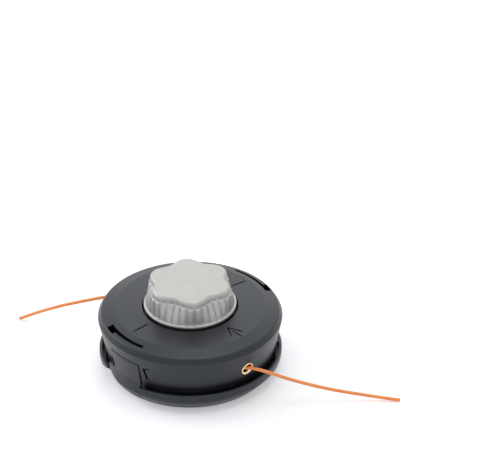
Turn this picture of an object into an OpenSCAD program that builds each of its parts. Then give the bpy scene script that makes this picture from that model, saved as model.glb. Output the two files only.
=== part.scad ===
// Two-line bump-feed trimmer head, standing knob up on the face that meets the gearbox.
// Z is the axis of rotation. The eyelets lie on X and the latches on Y.

/* [Shell] */
// Largest radius of the shell, at its shoulder
shell_r = 65; // [63:0.5:72]
// Distance that the skirt's lower edge lies inside the shoulder
skirt_in = 5; // [4:0.5:6]
// Height of the skirt, from its lower edge to the shoulder
skirt_h = 24.2; // [23:0.2:30]
// Height of the face at the opening above the shoulder
face_rise = 7.5; // [6:0.5:10]
// Distance of the crease between the face and its bevel from the shoulder's edge
crease_in = 12; // [10:0.5:14]
// Distance of the bevel's outer edge from the shoulder's edge
bevel_in = 2.4; // [2:0.1:4]
// Drop of the bevel's outer edge below the face
bevel_drop = 3.7; // [3:0.1:4.2]
// Drop of the face from the opening to the crease
face_drop = 1.3; // [0.6:0.1:1.8]
// Wall of the skirt
shell_wall = 2.2; // [1.6:0.1:2.6]
// Thickness of the face
face_t = 2.6; // [2:0.1:3.5]
// Clearance round the knob's flange in the opening
opening_gap = 0.9; // [0.6:0.1:3]
// Width of the marks on the face
mark_w = 1.1; // [0.6:0.1:1.6]
// Depth of the marks below the face at the crease
mark_depth = 0.35; // [0.2:0.05:0.6]

/* [Base dish] */
// Distance that the rim's outside lies inside the shoulder's edge
rim_in = 0.4; // [0:0.1:1.2]
// Height of the rim's top edge
rim_z = 15.3; // [14:0.1:18]
// Thickness of the rim
rim_t = 2.2; // [1.6:0.1:2.6]
// Distance that the ring the head stands on lies inside the shoulder's edge
foot_in = 8.5; // [7:0.5:11]
// Width of that ring
foot_w = 6.5; // [4:0.5:10]
// Height at which the dish's curved side meets the upright rim
side_h = 9; // [7:0.5:11]
// Height of the inner floor
floor_z = 5; // [4.4:0.1:6]
// Thickness of the floor over the open underside
floor_t = 2.4; // [1.8:0.1:3]
// Gap in height between the rim and the skirt's lower edge
skirt_gap = 1.5; // [0.6:0.1:3]
// Radius of the hub's seat on the gearbox
hub_r = 22; // [20:0.5:28]
// Number of ribs under the floor
rib_count = 12; // [6:1:18]
// Thickness of a rib
rib_t = 2; // [1.2:0.1:3]

/* [Post and arbor] */
// Radius of the post that the spool turns on
post_r = 12; // [11.5:0.1:13]
// Height of the post's top above the floor
post_h = 35; // [32:0.5:37]
// Radius of the passage for the end of the gearbox shaft
shaft_passage_r = 5.6; // [5.2:0.1:6.5]
// Width across the flats of the arbor nut
nut_af = 17; // [15:0.5:18]
// Height of the arbor nut
nut_h = 13.6; // [10:0.2:18]
// Radius of the nut's threaded hole at the thread's crests
thread_r = 4.33; // [4.2:0.01:4.6]
// Clearance of the nut in its pocket
nut_gap = 0.05; // [0.02:0.01:0.2]

/* [Latches] */
// Angle that one snap ear spans
ear_angle = 25; // [18:0.5:26]
// Height of the ear's ledge above the rim
ear_h = 18.3; // [14:0.1:19]
// Distance that the ear stands out from the skirt
ear_proud = 0.5; // [0.2:0.1:0.9]
// Thickness of the ear
ear_t = 2.6; // [2:0.1:3]
// Thickness of the ledge that joins the ear to its tongue
ledge_t = 2.6; // [2:0.1:4]
// Thickness of the tongue
tongue_t = 2; // [1.4:0.1:2.2]
// Height of the tongue above the ledge
tongue_h = 8; // [5:0.5:8.5]
// Angle that the face slot adds beyond the ear
slot_extra = 9.5; // [8:0.5:14]
// Angle that the slot's wide end spans
slot_end_angle = 8.5; // [5:0.5:12]
// Distance of the slot's inner wall from the shoulder's edge
slot_in = 7.8; // [7.2:0.1:8.5]
// Width of the face slot beside the ear
slot_w = 2.4; // [2:0.1:3]
// Width of the slot's wide end
slot_end_w = 4.8; // [4:0.1:5]
// Clearance round the ear and its tongue
ear_gap = 0.4; // [0.3:0.05:0.6]
// Angle of the dark notch at the side of the ear
notch_angle = 5; // [3:0.5:6]
// Height of that notch
notch_h = 7.2; // [5:0.2:9]
// Angle that the free finger of the rim spans
finger_angle = 14; // [10:0.5:18]
// Height of the finger at its root
finger_h = 6.3; // [5:0.1:7]
// Height of the finger at its free end
finger_tip = 1.2; // [0.8:0.1:2]
// Width of the slanted slit beside the ear
slit_w = 1.9; // [1:0.1:2.4]
// Height of the slit
slit_h = 9.5; // [6:0.5:11]
// Length of the slit's upper arm
slit_arm = 5.4; // [3:0.2:7]

/* [Spool] */
// Distance of the spool's outer flanges from the shoulder's edge
spool_in = 15; // [14:0.5:18]
// Distance of the middle flange's edge from the outer flanges'
middle_in = 4; // [2:0.5:5.5]
// Radius of the spool's core
core_r = 26; // [24.5:0.5:30]
// Wall of the core
core_wall = 2; // [1.6:0.1:2.5]
// Thickness of the flanges
flange_t = 1.8; // [1.4:0.1:2.4]
// Running clearance of the spool on the post
post_gap = 0.06; // [0.03:0.01:0.1]
// Wall of the spool's bearing tube
tube_wall = 2.5; // [2:0.1:2.8]
// Distance that a bump pushes the spool
travel = 7; // [5:0.5:8]
// Clearance left under the spool at the end of a bump
bottom_gap = 0.6; // [0.4:0.1:1]

/* [Ratchet] */
// Number of ratchet teeth
tooth_count = 12; // [6:2:12]
// Height of a tooth
tooth_h = 3.2; // [2.4:0.1:4]
// Depth to which the two rings of teeth mesh
mesh_depth = 2.4; // [1.6:0.1:3]
// Width of a tooth at its root
tooth_w = 7.6; // [5:0.1:8]
// Radial length of a tooth
tooth_len = 6; // [4:0.1:7]

/* [Line] */
// Diameter of the line
line_d = 2.4; // [2:0.1:3]
// Distance of the full winding from the outer flanges' edge
winding_in = 6; // [6:0.5:10]
// Height of the eyelets' centres
eyelet_z = 27; // [25:0.1:29]
// Radius of the hole in an eyelet
eyelet_hole_r = 3; // [2.6:0.1:3.4]
// Radius of the eyelet's outer lip
eyelet_lip_r = 5; // [4.6:0.1:6]

/* [Spring and washer] */
// Diameter of the spring's wire
wire_d = 1.8; // [1.2:0.1:2.2]
// Mean radius of the spring
spring_r = 17.2; // [17:0.1:18.2]
// Turns of the spring
spring_turns = 6; // [4:1:8]
// Thickness of the thrust washer
washer_t = 1.5; // [1:0.1:2]

/* [Knob] */
// Radius of the knob's flange
flange_r = 32.6; // [31.8:0.1:36]
// Thickness of the knob's flange
knob_flange_t = 2; // [1.5:0.1:3]
// Height of the knob's flange above the face
knob_lift = 0.8; // [0.3:0.1:3]
// Height of the knob over the flange
grip_h = 17.7; // [14:0.1:24]
// Radius of the round foot of the grip, between the ribs
grip_r = 30.2; // [29:0.1:30.6]
// Radius of the cap at the crown of a lobe
lobe_r = 29.6; // [28.5:0.1:30.2]
// Radius of the cap in the hollow between two lobes
hollow_r = 25; // [24:0.1:27]
// Radius of the rounded top edge
top_round = 3; // [1.5:0.1:4]
// Number of ribs on a lobe
ribs = 6; // [3:1:6]
// Angle from one rib to the next
rib_pitch = 10; // [9:0.5:10]
// Height that a rib stands out
rib_depth = 0.9; // [0.4:0.1:1.2]
// Distance from the top down to the ribs' upper ends
rib_end = 5.2; // [4.6:0.1:8]
// Wall of the knob
knob_wall = 3; // [2.4:0.1:4]

/* [Hidden] */

// Faces round a full circle, and steps in a rounded corner
$fn = 96;
corner_steps = 5;
// Depth that a cut runs past the surface it opens, and that joined solids share
past = 1;
shared = 0.4;
// Clearance between pieces of one body that lie against each other
lay_gap = 0.1;

// Radii and heights that follow from the sizes above
skirt_r = shell_r - skirt_in;
crease_r = shell_r - crease_in;
bevel_r = shell_r - bevel_in;
rim_r = shell_r - rim_in;
foot_r = shell_r - foot_in;
slot_r = shell_r - slot_in;
spool_r = shell_r - spool_in;
middle_r = spool_r - middle_in;
winding_r = spool_r - winding_in;
skirt_z = rim_z + skirt_gap;
shoulder_z = skirt_z + skirt_h;
face_z = shoulder_z + face_rise;
crease_z = face_z - face_drop;
bevel_z = face_z - bevel_drop;
ceiling_z = crease_z - face_t;
spool_z = floor_z + travel + bottom_gap;
spool_top_z = ceiling_z - 2 * tooth_h + mesh_depth;
compartment_h = (spool_top_z - spool_z - 3 * flange_t) / 2;
middle_z = spool_z + flange_t + compartment_h;
knob_z = face_z + knob_lift;
grip_z = knob_z + knob_flange_t;
knob_top_z = grip_z + grip_h;
rib_top_z = knob_top_z - rib_end;
post_top_z = floor_z + post_h;
opening_r = flange_r + opening_gap;

// The skirt leans outwards from its lower edge to the shoulder
function skirt_at(z) = skirt_r + (shell_r - skirt_r) * (z - skirt_z) / skirt_h;
skirt_lean = atan((shell_r - skirt_r) / skirt_h);

// The channel between the rim and the seat that the skirt stands on
channel_r = rim_r - rim_t;
channel_z = side_h - 1;
seat_w = shell_wall + 0.1;
spigot_r = skirt_r - shell_wall - 0.25;
spigot_t = 2.2;
spigot_h = 3.2;
rib_up = 0.6;

// Latches: the ear's middle lies on -Y and +Y
latch_azimuths = [-90, 90];
ear_shift = 4;
ear_from = -ear_angle / 2 + ear_shift;
side_gap = 0.4;
ledge_z = rim_z + ear_h;
tongue_out = slot_r + slot_w - ear_gap;
tongue_top = ledge_z + tongue_h;
slot_from = ear_from - slot_extra;
slot_angle = ear_angle + slot_extra + 1;
slit_z = skirt_z + 5.4;
slit_at = ear_from + ear_angle + 4.6;
slit_lean = 12;

// The dish's side under the ear and under the finger, where the rim is cut away
ear_side_r = skirt_r + 1;
finger_side_r = skirt_r - 0.5;
cut_foot = 0.8;
cut_z = 1.2;
finger_from = ear_from - notch_angle - finger_angle;
finger_slope = atan((finger_h - finger_tip) / (rim_r * sin(finger_angle)));

// Spool: bearing tube, web and neck
tube_in = post_r + post_gap;
tube_out = tube_in + tube_wall;
web_t = 2.5;
web_drop = 4;
web_z = spool_top_z - flange_t - web_drop;
neck_gap = 3.2;
neck_r = opening_r - neck_gap;
neck_wall = 3;
washer_z = web_z - washer_t - lay_gap;
washer_in = tube_out + 0.3;
washer_out = core_r - core_wall - 0.6;
groove_z = floor_z - 0.8;

// Ratchet teeth
tooth_pitch = 360 / tooth_count;
collar_t = 1.2;
tooth_r = opening_r + collar_t - shared;
tooth_gap = 0.4;

// Eyelets
eyelet_len = 3.8;
lip_round = 1;
edge_round = 0.4;
body_r = eyelet_hole_r + 1;
lip_t = 1;
lip_sink = 0.3;
lip_gap = 0.05;
boss_wall = 0.9;
boss_r = eyelet_lip_r + boss_wall;
boss_past = 0.8;
boss_len = eyelet_len - lip_t + boss_past;

// Knob screws
screw_count = 3;
screw_circle = neck_r - neck_wall - 5;
screw_r = 2;
screw_head_r = 3.6;
screw_head_h = 2.4;
screw_grip = 8;
screw_boss_r = 4.4;
knob_floor_t = 2.5;
boss_extra = 4;

// Knob: lobes, and the ribs' shares of an angle
lobe_count = 6;
lobe_turn = 27;
lobe_power = 1.9;
scoop_power = 1.4;
rib_foot = 4.1;
rib_crown = 3;

// Arbor nut in its pocket
nut_z = 0.4;
nut_corner_r = nut_af / 2 / cos(30);

// Spring: steps a turn, sides of the wire, and the heights of its first and last turns
spring_steps = 16;
spring_sides = 6;
spring_seat = 0.05;
spring_low = groove_z + wire_d / 2 + spring_seat;
spring_high = washer_z - wire_d / 2 - spring_seat;
line_sides = 8;

// Routes of the two free line ends, each in the frame of its own eyelet
right_route = [[51, -10, 27], [53, -8, 27], [55, -6, 27], [58, -3, 27], [61, 0, 27], [64, 3, 26.9],
    [69, 8, 25.3], [74, 13, 23.1], [78.5, 18, 20.6], [83, 23.3, 18], [87.5, 29, 15.5], [92, 34.7, 13.1],
    [96.3, 40.2, 11], [100.5, 45.6, 9.1], [105, 51.3, 7.4], [109.5, 57, 5.8], [114, 62.5, 4.4],
    [118.5, 67.7, 3.2], [123, 72.5, 2.3], [127.5, 76.9, 1.6], [131.5, 80.7, 1.3]];
left_route = [[51, -10, 27], [53, -8, 27], [55, -6, 27], [58, -3, 27], [61, 0, 27], [64, 3, 26.9],
    [68.7, 7.9, 26.1], [73.4, 12.9, 24.8], [78.1, 17.9, 23.1], [82.8, 23, 21.4], [87.5, 28.3, 19.7],
    [92.2, 33.4, 17.8], [96.8, 38.2, 15.9], [101.3, 42.7, 13.7], [105.8, 47, 11.3], [110.2, 51.1, 8.8],
    [114.3, 55, 6.3], [118.2, 58.6, 3.8], [122, 62, 1.3]];

// A closed outline from points [x, y, radius], with an arc at each corner that has a radius
function outline(pts) = [for (i = [0 : len(pts) - 1])
    let (n = len(pts), p = pts[i], a = pts[(i + n - 1) % n], b = pts[(i + 1) % n])
    each len(p) < 3 || p[2] <= 0 ? [[p[0], p[1]]] : corner([a[0], a[1]], [p[0], p[1]], [b[0], b[1]], p[2])];

// The arc of radius r that rounds the corner at p between a and b
function corner(a, p, b, r) =
    let (u = unit(a - p), v = unit(b - p), half = acos(u * v) / 2,
        centre = p + unit(u + v) * r / sin(half),
        s = p + u * r / tan(half) - centre,
        e = p + v * r / tan(half) - centre,
        turn = 180 - 2 * half,
        side = cross(s, e) > 0 ? 1 : -1)
    [for (k = [0 : corner_steps]) centre + spun(s, side * turn * k / corner_steps)];

function unit(v) = v / norm(v);
function spun(v, angle) = [v[0] * cos(angle) - v[1] * sin(angle), v[0] * sin(angle) + v[1] * cos(angle)];

// A ring of revolution between two angles
module sector(from, angle) {
    rotate([0, 0, from]) rotate_extrude(angle = angle) children();
}

// A rectangle by its corners
module box2(x0, y0, x1, y1) {
    translate([x0, y0]) square([x1 - x0, y1 - y0]);
}

// Base dish

module dish_profile() {
    polygon(outline([[0, 0], [hub_r, 0, 0.6], [hub_r, floor_z - floor_t],
        [foot_r - foot_w, floor_z - floor_t], [foot_r - foot_w, 0, 0.6], [foot_r, 0, 1.5],
        [rim_r, side_h, 7], [rim_r, rim_z, 0.7],
        [channel_r, rim_z, 0.5], [channel_r, channel_z, 0.5], [skirt_r, channel_z, 0.5],
        [skirt_r, skirt_z], [skirt_r - seat_w, skirt_z], [spigot_r, skirt_z],
        [spigot_r, skirt_z + spigot_h, 0.6], [spigot_r - spigot_t, skirt_z + spigot_h, 0.6],
        [spigot_r - spigot_t, floor_z, 1], [spring_r + wire_d, floor_z], [spring_r + wire_d, groove_z],
        [spring_r - wire_d, groove_z], [spring_r - wire_d, floor_z], [post_r, floor_z],
        [post_r, post_top_z, 0.8], [0, post_top_z]]));
}

// The ear follows the skirt's slope, steps in at its ledge and ends in the tongue
module ear_profile() {
    ear_out = skirt_at(ledge_z) + ear_proud;
    ledge_low = ledge_z - ledge_t;
    polygon(outline([[ear_side_r - ear_t, channel_z - past], [ear_side_r, channel_z - past],
        [ear_side_r, skirt_z], [ear_out, ledge_z, 0.6], [tongue_out, ledge_z, 0.4],
        [tongue_out, tongue_top, 0.5], [tongue_out - tongue_t, tongue_top, 0.5],
        [tongue_out - tongue_t, ledge_low], [skirt_at(ledge_low) + ear_proud - ear_t, ledge_low],
        [ear_side_r - ear_t, skirt_z]]));
}

// What is cut off outside a lower side of radius r, from the foot up to the skirt
module side_cut(r) {
    polygon(outline([[foot_r + cut_foot, cut_z], [r, side_h - 2, 3], [r, skirt_z + past],
        [rim_r + past, skirt_z + past], [rim_r + past, cut_z]]));
}

// What stays of the rim beside the notch: a free finger whose underside slopes up to its end
module finger_keep() {
    intersection() {
        sector(finger_from - past, finger_angle + past)
            box2(finger_side_r - past, 0, rim_r + 2 * past, skirt_z + 2 * past);
        rotate([0, 0, finger_from]) translate([0, 0, rim_z - finger_h]) rotate([finger_slope, 0, 0])
            translate([0, -rim_r, 0]) cube([2 * rim_r, 2 * rim_r, rim_r]);
    }
}

// The rim is left out at each ear and notch
module rim_cuts() {
    for (a = latch_azimuths) rotate([0, 0, a]) {
        sector(ear_from, ear_angle + side_gap) side_cut(ear_side_r);
        difference() {
            sector(finger_from, finger_angle + notch_angle + past) side_cut(finger_side_r);
            finger_keep();
        }
    }
}

module base_dish() {
    rib_from = hub_r - shared;
    rib_len = foot_r - foot_w - hub_r + 2 * shared;
    color("#26282c") difference() {
        union() {
            difference() {
                rotate_extrude() dish_profile();
                rim_cuts();
            }
            for (a = latch_azimuths) sector(a + ear_from, ear_angle) ear_profile();
            for (k = [0 : rib_count - 1]) rotate([0, 0, k * 360 / rib_count])
                translate([rib_from, -rib_t / 2, rib_up])
                    cube([rib_len, rib_t, floor_z - floor_t + shared - rib_up]);
        }
        translate([0, 0, -past]) cylinder(h = post_top_z + 2 * past, r = shaft_passage_r);
        translate([0, 0, -past]) cylinder(h = nut_z + nut_h + past, r = nut_corner_r + nut_gap, $fn = 6);
    }
}

// Arbor nut

module arbor_nut() {
    color("#9a9ca0") translate([0, 0, nut_z]) difference() {
        cylinder(h = nut_h, r = nut_corner_r, $fn = 6);
        translate([0, 0, -past]) cylinder(h = nut_h + 2 * past, r = thread_r);
    }
}

// Shell

module shell_outside() {
    polygon(outline([[0, skirt_z], [skirt_r, skirt_z, 0.5], [shell_r, shoulder_z, 1.6],
        [bevel_r, bevel_z, 2], [crease_r, crease_z, 4], [opening_r, face_z, 0.6],
        [opening_r, ceiling_z], [0, ceiling_z]]));
}

module shell_inside() {
    polygon(outline([[0, skirt_z - past], [skirt_r - shell_wall, skirt_z - past],
        [skirt_r - shell_wall, skirt_z], [shell_r - shell_wall, shoulder_z - 0.6, 1.4],
        [bevel_r - 1.6, bevel_z - face_t, 1], [crease_r - 1, ceiling_z, 2], [0, ceiling_z]]));
}

// One ratchet tooth, upright on z = 0, with a steep drive face and a sloped back
module tooth(length) {
    top_w = tooth_w * 0.35;
    rotate([90, 0, 90]) linear_extrude(height = length)
        polygon([[-tooth_w / 2, -shared], [tooth_w / 2, -shared], [tooth_w / 2, 0],
            [tooth_w / 2 - top_w, tooth_h], [-tooth_w / 2, tooth_h]]);
}

// A ring of teeth from an inner radius, turned by a share of the pitch
module tooth_ring(from_r, length, shift) {
    for (k = [0 : tooth_count - 1]) rotate([0, 0, (k + shift) * tooth_pitch])
        translate([from_r, 0, 0]) tooth(length);
}

// Puts a child on an eyelet's axis, with z = 0 on the skirt's surface and +Z square to it, outwards
module on_skirt(azimuth) {
    rotate([0, 0, azimuth]) translate([skirt_at(eyelet_z), 0, eyelet_z]) rotate([0, 90 + skirt_lean, 0])
        children();
}

module eyelet_seats() {
    for (a = [0, 180]) on_skirt(a) children();
}

module latch_cuts() {
    notch_from = ear_from - notch_angle;
    for (a = latch_azimuths) {
        // The curved slot in the face, narrow over the tongue's chamber and wide at one end
        sector(a + slot_from, slot_angle) box2(slot_r, ledge_z + ear_gap, slot_r + slot_w, face_z + past);
        sector(a + slot_from, slot_end_angle)
            box2(slot_r, ledge_z + ear_gap, slot_r + slot_end_w, face_z + past);
        // The notch that the ear fills, and the open one beside it
        sector(a + ear_from - side_gap, ear_angle + 2 * side_gap)
            box2(slot_r - 2, skirt_z - past, shell_r + past, ledge_z + ear_gap);
        sector(a + notch_from, notch_angle)
            box2(slot_r - 2, skirt_z - past, shell_r + past, skirt_z + notch_h);
        // The slanted slit beside the ear, and its upper arm
        rotate([0, 0, a + slit_at]) translate([skirt_r - 3, 0, slit_z]) rotate([slit_lean, 0, 0]) {
            cube([shell_r - skirt_r + 4, slit_w, slit_h]);
            translate([0, 0, slit_h - 1]) cube([shell_r - skirt_r + 4, slit_arm, 1]);
        }
    }
}

module shell() {
    color("#26282c") difference() {
        union() {
            difference() {
                rotate_extrude() shell_outside();
                rotate_extrude() shell_inside();
            }
            rotate_extrude() box2(opening_r, ceiling_z - tooth_h, opening_r + collar_t, ceiling_z + shared);
            translate([0, 0, ceiling_z]) mirror([0, 0, 1]) tooth_ring(tooth_r, tooth_len + shared, 0);
            eyelet_seats() translate([0, 0, -boss_len]) cylinder(h = boss_len - shared, r = boss_r);
        }
        translate([0, 0, ceiling_z - tooth_h - past]) cylinder(h = face_z, r = opening_r);
        eyelet_seats() translate([0, 0, -boss_len - past])
            cylinder(h = boss_len + 2 * past, r = body_r + lay_gap);
        eyelet_seats() translate([0, 0, -boss_len - past])
            cylinder(h = boss_len + past - eyelet_len + lip_t, r = eyelet_lip_r);
        eyelet_seats() translate([0, 0, -lip_sink]) cylinder(h = past, r = eyelet_lip_r + lay_gap);
        latch_cuts();
        face_marks();
    }
}

// Shallow marks on the face: a line at each latch and an arrow at the first eyelet
module mark(from, to) {
    along = to - from;
    translate([from[0], from[1], crease_z - mark_depth]) rotate([0, 0, atan2(along[1], along[0])])
        translate([0, -mark_w / 2, 0]) cube([norm(along), mark_w, face_z]);
}

module face_marks() {
    tip = [crease_r - 14, 2];
    for (a = latch_azimuths) rotate([0, 0, a]) mark([crease_r - 15.5, 0], [crease_r - 2.4, 0]);
    mark(tip, tip + [9.7, 5.8]);
    mark(tip, tip + [9.2, -4.4]);
    mark(tip + [5, 0.5], tip + [14.2, 1.5]);
}

// Eyelets

module eyelet_profile() {
    polygon(outline([[eyelet_hole_r, 0, edge_round], [eyelet_hole_r, eyelet_len, lip_round],
        [eyelet_lip_r, eyelet_len, edge_round], [eyelet_lip_r, eyelet_len - lip_t],
        [body_r, eyelet_len - lip_t], [body_r, 0, edge_round]]));
}

module eyelet(azimuth) {
    color("#c9a45a") on_skirt(azimuth) translate([0, 0, lip_t + lip_gap - lip_sink - eyelet_len])
        rotate_extrude() eyelet_profile();
}

// Free line ends: a tube swept along the route's own points

function tangent(path, i) = unit(path[min(i + 1, len(path) - 1)] - path[max(i - 1, 0)]);
function ring_at(path, i) =
    let (t = tangent(path, i), side = unit(cross([0, 0, 1], t)), up = cross(t, side))
    [for (k = [0 : line_sides - 1]) path[i] + line_d / 2 * (cos(k * 360 / line_sides) * side
        + sin(k * 360 / line_sides) * up)];

module line_end(path, azimuth) {
    last = len(path) - 1;
    points = [for (i = [0 : last]) each ring_at(path, i)];
    walls = [for (i = [0 : last - 1], k = [0 : line_sides - 1])
        let (m = (k + 1) % line_sides, a = i * line_sides, b = a + line_sides)
        each [[a + k, b + k, b + m], [a + k, b + m, a + m]]];
    first_cap = [for (k = [0 : line_sides - 1]) k];
    last_cap = [for (k = [line_sides - 1 : -1 : 0]) last * line_sides + k];
    color("#e8662a") rotate([0, 0, azimuth])
        polyhedron(concat(points), concat(walls, [first_cap], [last_cap]));
}

// Feed spring: a helix with closed end turns

// Height along the helix: the first and last turns lie flat, apart from the wire's own thickness
function spring_height(turn) =
    let (coils = spring_turns - 2, rise = spring_high - spring_low - 2 * wire_d)
    turn < 1 ? spring_low + turn * wire_d
    : turn > spring_turns - 1 ? spring_high - (spring_turns - turn) * wire_d
    : spring_low + wire_d + rise * (turn - 1) / coils;

module feed_spring() {
    last = spring_turns * spring_steps;
    points = [for (i = [0 : last], k = [0 : spring_sides - 1])
        let (a = i * 360 / spring_steps, s = k * 360 / spring_sides, r = spring_r + wire_d / 2 * cos(s))
        [r * cos(a), r * sin(a), spring_height(i / spring_steps) + wire_d / 2 * sin(s)]];
    walls = [for (i = [0 : last - 1], k = [0 : spring_sides - 1])
        let (m = (k + 1) % spring_sides, a = i * spring_sides, b = a + spring_sides)
        each [[a + k, a + m, b + m], [a + k, b + m, b + k]]];
    first_cap = [for (k = [spring_sides - 1 : -1 : 0]) k];
    last_cap = [for (k = [0 : spring_sides - 1]) last * spring_sides + k];
    color("#8d9196") polyhedron(points, concat(walls, [first_cap], [last_cap]));
}

// Thrust washer

module thrust_washer() {
    color("#b4b7ba") translate([0, 0, washer_z]) rotate_extrude()
        polygon(outline([[washer_in, 0, 0.2], [washer_out, 0, 0.2], [washer_out, washer_t, 0.2],
            [washer_in, washer_t, 0.2]]));
}

// Spool

module spool_profile() {
    low = spool_z + flange_t;
    mid = middle_z;
    top = spool_top_z;
    polygon(outline([[core_r - core_wall, spool_z], [spool_r, spool_z, 0.8], [spool_r, low, 0.8],
        [core_r, low], [core_r, mid], [middle_r, mid, 0.8], [middle_r, mid + flange_t, 0.8],
        [core_r, mid + flange_t], [core_r, top - flange_t], [spool_r, top - flange_t, 0.8],
        [spool_r, top, 0.8], [neck_r, top], [neck_r, knob_z], [neck_r - neck_wall, knob_z],
        [neck_r - neck_wall, top - flange_t], [tube_out, web_z + web_t], [tube_out, post_top_z - 1],
        [tube_in, post_top_z - 1], [tube_in, spool_z], [tube_out, spool_z], [tube_out, web_z],
        [core_r - core_wall, web_z]]));
}

// Places round the knob's screws
module at_screws() {
    for (k = [0 : screw_count - 1]) rotate([0, 0, k * 360 / screw_count + 24])
        translate([screw_circle, 0, 0]) children();
}

module spool() {
    color("#3a3c40") difference() {
        union() {
            rotate_extrude() spool_profile();
            translate([0, 0, spool_top_z]) mirror([0, 1, 0])
                tooth_ring(opening_r + collar_t + tooth_gap, tooth_len - tooth_gap, 0.5);
            difference() {
                rotate_extrude() box2(tube_out + 2, knob_z - knob_floor_t, neck_r - shared, knob_z);
                translate([0, 0, knob_z - knob_floor_t - past])
                    cylinder(h = knob_floor_t + 2 * past, r = tube_out + 2);
            }
        }
        at_screws() translate([0, 0, knob_z - knob_floor_t - past])
            cylinder(h = knob_floor_t + 2 * past, r = screw_r + lay_gap);
    }
}

// Windings: one solid for each compartment, scalloped by the outer layer of turns

module winding(low) {
    room = compartment_h - 2 * lay_gap;
    turns = floor(room / line_d);
    width = turns * line_d;
    rim = winding_r - line_d / 2;
    scallops = [for (k = [0 : turns - 1], s = [-75 : 25 : 75])
        [rim + line_d / 2 * cos(s), low + (k + 0.5) * line_d + line_d / 2 * sin(s)]];
    color("#e8662a") rotate_extrude()
        polygon(concat([[core_r + lay_gap, low], [rim, low]], scallops,
            [[rim, low + width], [core_r + lay_gap, low + width]]));
}

// Knob

// Radius of the cap's outline at an angle from the nearest lobe's crown
function cap_r(a) = hollow_r + (lobe_r - hollow_r) * (1 - pow(abs(a) / (180 / lobe_count), lobe_power));

// Radius of the wall between the ribs: round at the grip's foot, lobed at the cap
function wall_r(a, z) =
    let (share = pow(max(0, min(1, (z - grip_z) / (rib_top_z - grip_z))), scoop_power))
    grip_r + (cap_r(a) - grip_r) * share;

// Angles round one lobe: four for each rib, and one in the middle of the hollow
ribs_half = (ribs - 1) / 2 * rib_pitch;
hollow_from = ribs_half + rib_foot;
hollow_span = 360 / lobe_count - 2 * hollow_from;
function lobe_angles() = concat(
    [for (k = [0 : ribs - 1], s = [-rib_foot, -rib_crown, rib_crown, rib_foot])
        k * rib_pitch - ribs_half + s],
    [hollow_from + hollow_span / 2]);
function on_rib(i) = i < 4 * ribs && (i % 4 == 1 || i % 4 == 2);

// One ring of the knob: inset draws the outline in, and share is how much of the ribs shows
function knob_ring(z, inset, share) = [for (n = [0 : lobe_count - 1])
    let (angles = lobe_angles())
    each [for (i = [0 : len(angles) - 1])
        let (a = angles[i], from_crown = a > 180 / lobe_count ? a - 360 / lobe_count : a,
            r = wall_r(from_crown, z) - inset + (on_rib(i) ? share * rib_depth : 0),
            t = a + lobe_turn + n * 360 / lobe_count)
        [r * cos(t), r * sin(t), z]]];

module knob_body() {
    top_steps = 4;
    grip = rib_top_z - grip_z;
    rings = concat(
        [knob_ring(grip_z - shared, 0, 1), knob_ring(grip_z + 0.35 * grip, 0, 1),
            knob_ring(grip_z + 0.65 * grip, 0, 1), knob_ring(rib_top_z - rib_depth, 0, 1),
            knob_ring(rib_top_z, 0, 0)],
        [for (k = [0 : top_steps]) let (s = k * 90 / top_steps)
            knob_ring(knob_top_z - top_round + top_round * sin(s), top_round * (1 - cos(s)), 0)]);
    count = len(rings[0]);
    last = len(rings) - 1;
    points = [for (r = rings) each r];
    walls = [for (i = [0 : last - 1], k = [0 : count - 1])
        let (m = (k + 1) % count, a = i * count, b = a + count)
        each [[a + k, b + k, b + m], [a + k, b + m, a + m]]];
    polyhedron(points, concat(walls, [[for (k = [0 : count - 1]) k]],
        [[for (k = [count - 1 : -1 : 0]) last * count + k]]));
}

module bump_knob() {
    inside_r = hollow_r - knob_wall;
    color("#c8c6c2") difference() {
        union() {
            knob_body();
            rotate_extrude() polygon(outline([[0, knob_z], [flange_r, knob_z, 0.5],
                [flange_r, grip_z, 0.8], [0, grip_z]]));
        }
        difference() {
            translate([0, 0, knob_z - past])
                cylinder(h = knob_top_z - knob_z - knob_wall + past, r = inside_r);
            at_screws() translate([0, 0, knob_z - 2 * past])
                cylinder(h = screw_grip + boss_extra + 2 * past, r = screw_boss_r);
        }
        at_screws() translate([0, 0, knob_z - past]) cylinder(h = screw_grip + past, r = screw_r + lay_gap);
    }
}

module knob_screws() {
    color("#8d9196") at_screws() {
        translate([0, 0, knob_z - knob_floor_t - screw_head_h]) cylinder(h = screw_head_h, r = screw_head_r);
        translate([0, 0, knob_z - knob_floor_t - shared])
            cylinder(h = knob_floor_t + shared + screw_grip - 1, r = screw_r);
    }
}

base_dish();
arbor_nut();
shell();
eyelet(0);  // eyelet_right
eyelet(180);  // eyelet_left
line_end(right_route, 0);  // line_right
line_end(left_route, 180);  // line_left
feed_spring();
thrust_washer();
spool();
winding(spool_z + flange_t + lay_gap);  // winding_lower
winding(middle_z + flange_t + lay_gap);  // winding_upper
bump_knob();
knob_screws();
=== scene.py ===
import logging
import math
from abc import ABC, abstractmethod
from dataclasses import dataclass, field
from enum import Enum
from typing import Callable, Dict, List, Optional, Sequence, Tuple, Union

import bmesh
import bpy
from mathutils import Matrix, Vector


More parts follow.
